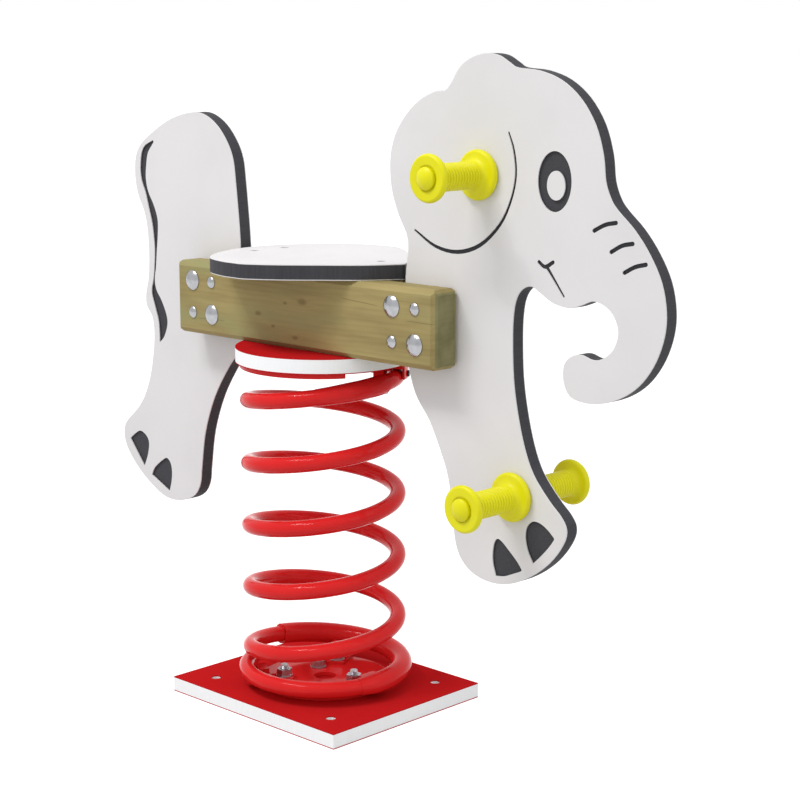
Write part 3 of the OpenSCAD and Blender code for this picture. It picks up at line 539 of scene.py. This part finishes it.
def hose(name, span, hose_r, taper_deg):
    """A hose with a bore, thin at its first end and cut square at its last."""
    low, high = span
    count = round((high - low) / hose_step_deg)
    degs = [low + (high - low) * i / count for i in range(count + 1)]
    route = [wire_point(deg) for deg in degs]
    widths = [hose_thin_r + (hose_r - hose_thin_r) * min(1, (deg - low) / taper_deg) for deg in degs]
    piece = tube(name, route, widths, False)
    bore = tube(name + "_bore", route, [hose_bore_r] * len(route), False)
    select_only(piece)
    bore.select_set(True)
    bpy.ops.object.join()
    bpy.ops.object.mode_set(mode="EDIT")
    bpy.ops.mesh.select_all(action="DESELECT")
    bpy.ops.mesh.select_mode(type="EDGE")
    bpy.ops.object.mode_set(mode="OBJECT")
    for end in (route[0], route[-1]):
        rim = [edge for edge in open_edges(piece) if (edge_middle(piece, edge) - end).length < 2 * hose_r]
        for edge in piece.data.edges:
            edge.select = False
        for edge in rim:
            edge.select = True
        bpy.ops.object.mode_set(mode="EDIT")
        bpy.ops.mesh.bridge_edge_loops()
        bpy.ops.mesh.select_all(action="DESELECT")
        bpy.ops.object.mode_set(mode="OBJECT")
    bpy.ops.object.mode_set(mode="EDIT")
    bpy.ops.mesh.select_all(action="SELECT")
    bpy.ops.mesh.normals_make_consistent(inside=False)
    bpy.ops.object.mode_set(mode="OBJECT")
    bpy.ops.object.shade_smooth_by_angle(angle=math.radians(50))
    return piece


def rubber(name):
    """Smooth extruded hose: a soft shine with faint dust."""
    material, place = new_finish(name, {"Specular IOR Level": paint_gloss})
    cloud = place.noise(18, 3)
    pores = place.noise(800, 2)
    feed(material, {
        "Base Color": cloud.between(0.3, 0.7).mix(paint(218, 40, 41), paint(212, 37, 38)),
        "Roughness": 0.1 + 0.04 * cloud,
        "Normal": pores.bump(hose_pore, 0.12),
    })
    return material


hose_rubber = rubber("red_hose_rubber")
lower_hose = hose("lower_hose", lower_hose_degs, lower_hose_r, lower_taper_deg)
settle(lower_hose, hose_rubber, "base", "red_hose", "lower_coil_sleeve")
upper_hose = hose("upper_hose", upper_hose_degs, upper_hose_r, upper_taper_deg)
upper_hose.data.materials.append(hose_rubber)
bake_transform(upper_hose)
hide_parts("upper_coil_sleeve")


# Upper clamps: a hooked steel block and a bent claw that hold the spring's top turn under the
# deck, and the round steel plate between spring and deck. All are cut from steel and painted red.
clamp_break = 0.63 * MM
for node, piece_name in (
    ("upper_clamp_block", "upper_clamp_hook"),
    ("upper_clamp_claw", "upper_clamp_claw_bent"),
    ("spring_top_plate", "spring_plate_steel"),
):
    settle(filed(node, piece_name, clamp_break), red_paint, "rider", "red_steel", node)


# Upper clamp bolts and deck screws: blackened cap screws in the clamps, and zinc-plated hexagon
# screws that go up through plate and disc into the beams.
black_steel, black_place = new_finish("blackened_steel", {"Metallic": 0.7})
black_cloud = black_place.noise(200, 3)
feed(black_steel, {
    "Base Color": black_cloud.between(0.3, 0.7).mix(paint(34, 33, 36), paint(48, 46, 48)),
    "Roughness": 0.32 + 0.15 * black_cloud,
    "Normal": black_place.noise(1500).bump(0.05 * MM, 0.2),
})
screw_break = 0.5 * MM
for node, piece_name, finish, slot in (
    ("upper_clamp_bolts", "upper_clamp_cap_screws", black_steel, "black_steel"),
    ("deck_screws", "deck_hex_screws", zinc, "zinc"),
):
    settle(filed(node, piece_name, screw_break), finish, "rider", slot, node)


# Top disc: a round of the same red sheet as the base, sawn out and drilled. The deck screws
# hold it between the steel plate and the beams.
disc_low, disc_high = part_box("top_disc")
disc_middle = (disc_low.z + disc_high.z) / 2
disc_finish = sheet_finish("red_sheet_disc", "Z", disc_middle, red_skin, white_core, red_shine)
top_disc = filed("top_disc", "top_disc_sheet", sheet_break)
settle(top_disc, disc_finish, "rider", "red_sheet", "top_disc")


# Beams: two planed, pressure-treated pine beams with chamfered edges, and a small block of the
# same pine between them under the seat. Soft grain, a few knots and drying cracks show, and the
# cracks are darkened with painted shade.
beam_break = 0.7 * MM
chamfer_corner_deg, chamfer_smooth_deg = 30, 25
beam_middle_x = 8 * MM
beam_half_l = 225 * MM
end_grain_depth = 3 * MM
ring_width = 6.5 * MM
heart = (-0.02, 0.35)
fibre_depth = 0.3 * MM
crack_low, crack_high = 0.2 * MM, 0.8 * MM
knots = (
    (0.0177, 0.5038, 0.0034), (-0.0614, 0.4829, 0.0024), (-0.0124, 0.4998, 0.0016),
    (0.0047, 0.4593, 0.002), (-0.0344, 0.4697, 0.0016),
)
cracks = ((0.1138, 0.5129, 0.036, -0.066), (0.211, 0.4984, 0.0247, 0.01), (-0.15, 0.4665, 0.03, 0.03))
pine_light = paint(168, 152, 102)
pine_dark = paint(135, 119, 77)
pine_green = paint(150, 146, 100)
pine_knot_and_crack_shade = paint(84, 66, 42)
pine_end = paint(140, 136, 98)
pine_end_dark = paint(116, 112, 76)


def pine_finish(name):
    """Pine from one log: faint rings about its heart, fibres along the beam, knots, and cracks darkened with
    painted shade.
    """
    material, place = new_finish(name, {"Specular IOR Level": 0.12})
    x, y, z = place.axis("X"), place.axis("Y"), place.axis("Z")
    sway = place.stretched((3, 10, 10)).noise(1, 2) - 0.5
    wobble = place.stretched((14, 70, 70)).noise(1, 2) - 0.5
    from_heart = (y - heart[0]) * (y - heart[0]) + (z - heart[1]) * (z - heart[1])
    radius = from_heart.math("SQRT", from_heart) + 0.03 * sway + 0.002 * wobble
    knot = 0 * x
    for knot_x, knot_z, knot_r in knots:
        along, up = (x - knot_x) / 2, z - knot_z
        off = (along * along + up * up).math("SQRT", along * along + up * up) + 0.0014 * wobble
        knot = knot.math("MAXIMUM", knot, off.between(knot_r * 0.5, knot_r * 1.7, 1.0, 0.0))
        pull = off.between(0, knot_r * 6, 1.0, 0.0)
        radius = radius + 0.006 * pull * pull
    ring = (radius / ring_width).math("FRACT", radius / ring_width)
    late = ring.between(0.2, 0.85) - ring.between(0.85, 1.0)
    fibre = place.stretched((20, 1100, 1100)).noise(1, 3)
    streak = place.stretched((6, 120, 120)).noise(1, 3)
    blotch = place.stretched((9, 34, 34)).noise(1, 3)
    tone = 0.05 * late + 0.14 * fibre + 0.32 * streak + 0.6 * blotch
    wood = tone.between(0.34, 0.84).mix(pine_light, pine_dark)
    wood = place.stretched((5, 20, 20), (3, 1, 2)).noise(1, 2).between(0.45, 0.7).mix(wood, pine_green)
    end_from = beam_half_l - end_grain_depth
    at_end = abs(x - beam_middle_x).between(end_from, end_from + 0.5 * end_grain_depth)
    end_wood = (0.04 * late + 0.95 * blotch).between(0.25, 0.75).mix(pine_end, pine_end_dark)
    crack = 0 * x
    for crack_x, crack_z, reach, slope in cracks:
        line = abs(z - crack_z - (x - crack_x) * slope - 0.003 * wobble)
        along = abs(x - crack_x).between(reach * 0.6, reach, 1.0, 0.0)
        crack = crack.math("MAXIMUM", crack, line.between(crack_low, crack_high, 1.0, 0.0) * along)
    # Knots take their own dark colour. The cracks get painted shade: the same dark colour mixed in at 0.36
    # along each crack line.
    knot_colour_and_crack_shade = knot.math("MAXIMUM", knot * 0.45, crack * 0.36)
    feed(material, {
        "Base Color": knot_colour_and_crack_shade.mix(at_end.mix(wood, end_wood), pine_knot_and_crack_shade),
        "Roughness": 0.6 + 0.12 * fibre - 0.05 * late,
        "Normal": (0.5 * fibre + 0.05 * late - 1.2 * crack - 0.3 * knot).bump(fibre_depth, 0.25),
    })
    return material


timber = pine_finish("treated_pine")
for node, piece_name in (
    ("right_beam", "right_beam_planed"), ("left_beam", "left_beam_planed"),
    ("beam_spacer", "beam_spacer_block"),
):
    piece = filed(node, piece_name, beam_break, chamfer_corner_deg, chamfer_smooth_deg)
    settle(piece, timber, "rider", "timber", node)


# Elephant panels: head with front leg, and rump with rear leg, each milled from one sheet with
# white skins on a dark grey core. Eye, ear, mouth, wrinkles, tail and toenails are cut through
# the white skin. The rims are rounded over by the router.
rim_round = 1.3 * MM
engraving_break = 0.35 * MM
through_least = sheet_t * 0.6
white_skin = (paint(226, 224, 225), paint(222, 220, 221))
dark_core = (paint(71, 71, 75), paint(65, 65, 69))
white_shine = 0.1
panel_finish = sheet_finish("white_sheet_upright", "Y", 0.0, white_skin, dark_core, white_shine)


def wall_depth(piece, face, across):
    """How far a face reaches through the sheet, along its axis 1 (Y) or 2 (Z)."""
    places = [piece.data.vertices[index].co[across] for index in face.vertices]
    return max(places) - min(places)


def break_sheet_edges(piece, across, rim_width, hole_width):
    """Rounds the rims that go right through the sheet, and the edges of shallow cuts less."""
    for through, width in ((True, rim_width), (False, hole_width)):
        edges = [
            edge for edge, one, two in corners(piece)
            if (max(wall_depth(piece, face, across) for face in (one, two)) > through_least) == through
        ]
        break_edges(piece, edges, width)


for node, piece_name in (("front_panel", "front_panel_milled"), ("rear_panel", "rear_panel_milled")):
    piece = welded(node, piece_name)
    break_sheet_edges(piece, 1, rim_round, engraving_break)
    smooth(piece, 40)
    settle(piece, panel_finish, "rider", "white_sheet", node)


# Beam bolts, sleeve nuts and small screws: polished domed heads. The bolts go through beam,
# panel and beam into the sleeve nuts, and the screws keep the panel from turning.
joint_xs = (184.5 * MM, -167 * MM)
joint_z = 492.5 * MM
joint_pitch_x = 36 * MM
joint_pitch_z = 40.5 * MM
beam_side = 9.5 * MM
beam_face = 49.5 * MM
bolt_head_r = 12.5 * MM
bolt_head_h = 6 * MM
bolt_r = 5 * MM
bolt_length = 81 * MM
sleeve_r = 7 * MM
sleeve_bore_r = 5.25 * MM
sleeve_bore_to = 31.8 * MM
screw_head_r = 7.25 * MM
screw_head_h = 4 * MM
screw_r = 3 * MM
screw_length = 47 * MM
dome_rim = 0.9 * MM
dome_steps = 12
toward_right = (math.radians(90), 0, 0)
toward_left = (math.radians(-90), 0, 0)


def dome(radius, height):
    """Rings of a domed head that stands on height 0, with a small upright rim."""
    rise = height - dome_rim
    ball = (radius * radius + rise * rise) / (2 * rise)
    reach = math.asin(radius / ball)
    rings = [(radius - dome_rim / 3, 0), (radius, dome_rim / 3)]
    for step in range(dome_steps):
        turn = reach * (1 - step / dome_steps)
        rings.append((ball * math.sin(turn), height - ball + ball * math.cos(turn)))
    return rings + [(0, height)]


def joint_places(diagonal, side, turn):
    """Where the bolts (diagonal 1) or the small screws (diagonal -1) stand on a side."""
    places = []
    for middle in joint_xs:
        for sign in (-1, 1):
            height = joint_z - diagonal * sign * joint_pitch_z / 2
            places.append(((middle + sign * joint_pitch_x / 2, side * beam_face, height), turn))
    return places


bright_steel, bright_place = new_finish("polished_steel", {"Metallic": 1.0})
bright_cloud = bright_place.noise(160, 3)
bright_lines = bright_place.stretched((900, 200, 900)).noise(1, 3)
feed(bright_steel, {
    "Base Color": bright_cloud.between(0.3, 0.7).mix(paint(172, 173, 176), paint(160, 161, 164)),
    "Roughness": 0.2 + 0.04 * bright_cloud + 0.03 * bright_lines,
    "Normal": bright_lines.bump(0.02 * MM, 0.1),
})
bolt_end = [(bolt_r * 0.8, -bolt_length), (bolt_r, -bolt_length + 0.2 * bolt_r), (bolt_r, 0)]
bolt = turned("beam_bolt", [*bolt_end, *dome(bolt_head_r, bolt_head_h)])
beam_bolts = placed(bolt, "beam_bolts_domed", joint_places(1, -1, toward_right))
nut_low = beam_side - beam_face
nut = turned("sleeve_nut", [
    (sleeve_bore_r, nut_low + sleeve_bore_to - beam_side), (sleeve_bore_r, nut_low), (sleeve_r, nut_low),
    (sleeve_r, 0), *dome(bolt_head_r, bolt_head_h),
])
sleeve_nuts = placed(nut, "beam_sleeve_nuts_domed", joint_places(1, 1, toward_left))
screw_rings = [
    (screw_r * 0.4, -screw_length), (screw_r, -screw_length + 2 * screw_r), (screw_r, 0),
    *dome(screw_head_r, screw_head_h),
]
right_screws, left_screws = (
    placed(turned("side_screw", screw_rings, 32), name, joint_places(-1, side, turn))
    for name, side, turn in (
        ("right_beam_screws_domed", -1, toward_right), ("left_beam_screws_domed", 1, toward_left),
    )
)
for piece, node in (
    (beam_bolts, "beam_bolts"), (sleeve_nuts, "beam_sleeve_nuts"),
    (right_screws, "right_beam_screws"), (left_screws, "left_beam_screws"),
):
    smooth(piece, 35)
    settle(piece, bright_steel, "rider", "bright_steel", node)


# Seat: a rounded leaf of the white and grey sheet, cut out and rounded over by the router. Three
# zinc-plated screws, sunk below its face, hold it down on the beams and the block between them.
seat_round = 1.3 * MM
seat_low, seat_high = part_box("seat_plate")
seat_middle = (seat_low.z + seat_high.z) / 2
seat_finish = sheet_finish("white_sheet_seat", "Z", seat_middle, white_skin, dark_core, white_shine)
seat = welded("seat_plate", "seat_plate_milled")
break_sheet_edges(seat, 2, seat_round, engraving_break)
smooth(seat)
settle(seat, seat_finish, "rider", "white_sheet", "seat_plate")
seat_screws = filed("seat_screws", "seat_screws_sunk", screw_break)
settle(seat_screws, zinc, "rider", "zinc", "seat_screws")


# Handgrips and footrests: yellow moulded bobbins, a wide flange on the panel, a ribbed barrel
# and a smaller flange at the end. A steel rod through the panel carries each pair.
grip_length = 86 * MM
grip_bore_r = 5.25 * MM
grip_flange_r = 28 * MM
grip_end_r = 26.5 * MM
grip_flange_t = 8.5 * MM
grip_rim_r = 3.6 * MM
grip_dish = 6 * MM
barrel_r = 14.5 * MM
rib_count = 13
rib_height = 0.9 * MM
rib_fullness = 3
groove_depth = 1 * MM
recess_r = 14.1 * MM
recess_depth = 2 * MM
rim_steps = 10
dish_steps = 8
rib_shares = (0.0, 0.06, 0.14, 0.26, 0.5, 0.74, 0.86, 0.94)


def grip_rim(radius, start):
    return [
        (radius - grip_rim_r + grip_rim_r * math.cos(turn), start + grip_flange_t / 2 * (1 + math.sin(turn)))
        for turn in (math.radians(-90 + 180 * step / rim_steps) for step in range(rim_steps + 1))
    ]


def grip_dish_rings(radius, flange_at, toward):
    """From the flange's face down into the barrel; toward is 1 away from the panel, -1 back to it."""
    edge = radius - grip_rim_r
    rings = []
    for step in range(1, dish_steps + 1):
        turn = math.radians(90 * step / dish_steps)
        out = barrel_r + (edge - barrel_r) * (1 - math.sin(turn))
        rings.append((out, flange_at + toward * grip_dish * (1 - math.cos(turn))))
    return rings


ribs_from = grip_flange_t + grip_dish
ribs_to = grip_length - ribs_from
rib_pitch = (ribs_to - ribs_from) / rib_count
grip_rings = [(grip_bore_r, 0), *grip_rim(grip_flange_r, 0)]
grip_rings += grip_dish_rings(grip_flange_r, grip_flange_t, 1)
for rib in range(rib_count):
    for share in rib_shares[1:] if rib == 0 else rib_shares:
        swell = 1 - abs(2 * share - 1) ** rib_fullness
        high = barrel_r - groove_depth + (rib_height + groove_depth) * swell
        grip_rings.append((high, ribs_from + (rib + share) * rib_pitch))
grip_rings += grip_dish_rings(grip_end_r, grip_length - grip_flange_t, -1)[::-1]
grip_rings += grip_rim(grip_end_r, grip_length - grip_flange_t)
face_step = 0.5 * MM
grip_rings += [
    (recess_r + 5 * face_step, grip_length - face_step / 2), (recess_r + face_step, grip_length - face_step),
    (recess_r, grip_length - 2 * face_step), (recess_r, grip_length - recess_depth),
    (grip_bore_r, grip_length - recess_depth), (grip_bore_r, 0),
]
yellow_plastic, yellow_place = new_finish("yellow_moulded", {"Specular IOR Level": 0.25})
yellow_cloud = yellow_place.noise(25, 3)
yellow_grain = yellow_place.noise(1600, 2)
feed(yellow_plastic, {
    "Base Color": yellow_cloud.between(0.3, 0.7).mix(paint(229, 224, 16), paint(224, 218, 12)),
    "Roughness": 0.3 + 0.1 * yellow_cloud,
    "Normal": yellow_grain.bump(0.06 * MM, 0.25),
})
grip_nodes = ("right_handgrip", "left_handgrip", "right_footrest", "left_footrest")
for node in grip_nodes:
    low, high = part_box(node)
    turn = toward_right if node.startswith("right") else toward_left
    root = high.y if node.startswith("right") else low.y
    spot = ((low.x + high.x) / 2, root, (low.z + high.z) / 2)
    piece = placed(turned("grip", grip_rings, 72), node + "_ribbed", [(spot, turn)])
    smooth(piece, 50)
    settle(piece, yellow_plastic, "rider", "yellow_plastic", node)


# Grip caps: round yellow cap nuts, moulded from the same plastic. One is screwed on each end of
# a rod and sits in the hollow of the grip's end.
cap_r = 12.5 * MM
cap_band = 4.2 * MM
cap_dome = 4.6 * MM
cap_edge = 0.7 * MM
cap_hole_r = 5.25 * MM
cap_hole_depth = 1.5 * MM
cap_ball = (cap_r * cap_r + cap_dome * cap_dome) / (2 * cap_dome)
cap_rings = [
    (cap_hole_r, cap_hole_depth), (cap_hole_r, 0), (cap_r - cap_edge, 0), (cap_r, cap_edge),
    (cap_r, cap_band - cap_edge),
]
for step in range(dome_steps):
    turn = math.asin((cap_r - cap_edge / 3) / cap_ball) * (1 - step / dome_steps)
    cap_height = cap_band + cap_dome - cap_ball * (1 - math.cos(turn))
    cap_rings.append((cap_ball * math.sin(turn), cap_height))
cap_rings.append((0, cap_band + cap_dome))
for node in ("handgrip_caps", "footrest_caps"):
    low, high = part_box(node)
    middle_x, middle_z = (low.x + high.x) / 2, (low.z + high.z) / 2
    cap_h = cap_band + cap_dome
    places = [
        ((middle_x, low.y + cap_h, middle_z), toward_right),
        ((middle_x, high.y - cap_h, middle_z), toward_left),
    ]
    piece = placed(turned("cap", cap_rings, 56), node + "_domed", places)
    smooth(piece, 50)
    settle(piece, yellow_plastic, "rider", "yellow_plastic", node)


# Grip rods: plain zinc-plated steel rods that go through grip, panel and grip. No side shows
# them, so they stay as the CAD has them.
for node in ("handgrip_rod", "footrest_rod"):
    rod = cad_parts[node]
    rod.data.materials.clear()
    rod.data.materials.append(zinc)


# Studio: a wide pale floor and a white surround that gives most of the light, a long soft key
# lamp from the upper left with a small one beside it for the highlights, and a weak fill.
# The camera stands where the photograph was taken from.
floor_size = 40
floor_matt = (0.6, 0.6, 0.6, 1)
floor_shadow = (0.5, 0.5, 0.5, 1)
floor_glow = 0.8
white = (1, 1, 1, 1)
sky_light, sky_glow = 0.8, 0.2


def seen_rays(tree):
    """1 for rays that show the backdrop, straight, in a gloss or through glass, and 0 for its light."""
    path = tree.nodes.new("ShaderNodeLightPath").outputs
    seen = Shade(tree, path["Is Camera Ray"])
    for ray in ("Is Glossy Ray", "Is Transmission Ray"):
        seen = seen.math("MAXIMUM", seen, Shade(tree, path[ray]))
    return seen


bpy.ops.object.select_all(action="DESELECT")
bpy.ops.mesh.primitive_plane_add(size=floor_size, location=(0, 0, 0))
floor = bpy.context.object
floor.name = "studio_floor"
floor_paint = bpy.data.materials.new("pale_floor")
floor_paint.use_nodes = True
floor_tree = floor_paint.node_tree
floor_tree.nodes.clear()
seen = seen_rays(floor_tree)
matt = seen.node("BsdfDiffuse", {}, {"Color": floor_matt})
shadow_side = seen.node("BsdfDiffuse", {}, {"Color": floor_shadow})
glow = seen.node("Emission", {}, {"Color": white, "Strength": floor_glow})
backdrop = seen.node("AddShader", {}, {0: shadow_side, 1: glow})
floor_mix = seen.node("MixShader", {}, {0: seen, 1: matt, 2: backdrop})
floor_out = floor_tree.nodes.new("ShaderNodeOutputMaterial")
floor_tree.links.new(floor_mix.socket, floor_out.inputs["Surface"])
floor.data.materials.append(floor_paint)

surround = bpy.data.worlds.new("white_surround")
bpy.context.scene.world = surround
surround.use_nodes = True
sky_tree = surround.node_tree
sky = sky_tree.nodes["Background"]
sky.inputs["Color"].default_value = white
sky_strength = sky_light + sky_glow * seen_rays(sky_tree)
sky_tree.links.new(sky_strength.socket, sky.inputs["Strength"])

lamp_aim = Vector((0.05, 0, 0.4))
for lamp_name, lamp_place, lamp_size, lamp_depth, lamp_power in (
    ("key_light", (-0.6, -1.95, 3.55), 2.2, 0.7, 62),
    ("highlight", (-0.85, -1.98, 3.28), 0.12, 0.12, 8),
    ("fill_light", (2.4, 0.4, 1.6), 1.6, 1.6, 6),
):
    bpy.ops.object.light_add(type="AREA", location=lamp_place)
    lamp = bpy.context.object
    lamp.name = lamp_name
    lamp.data.shape = "RECTANGLE"
    lamp.data.size = lamp_size
    lamp.data.size_y = lamp_depth
    lamp.data.energy = lamp_power
    lamp.rotation_euler = (lamp_aim - Vector(lamp_place)).to_track_quat("-Z", "Y").to_euler()

camera_place = Vector((1.6378, -1.5409, 0.7986))
camera_aim = Vector((0.06733, 0.06581, 0.3767))
camera_lens = 84.135
camera_sensor = 36
camera_reach = 100
bpy.ops.object.camera_add(location=camera_place)
camera = bpy.context.object
camera.name = "photo_camera"
camera.rotation_euler = (camera_aim - camera_place).to_track_quat("-Z", "Y").to_euler()
camera.data.lens = camera_lens
camera.data.sensor_width = camera_sensor
camera.data.clip_end = camera_reach
bpy.context.scene.camera = camera
bpy.context.scene.view_settings.view_transform = "Standard"
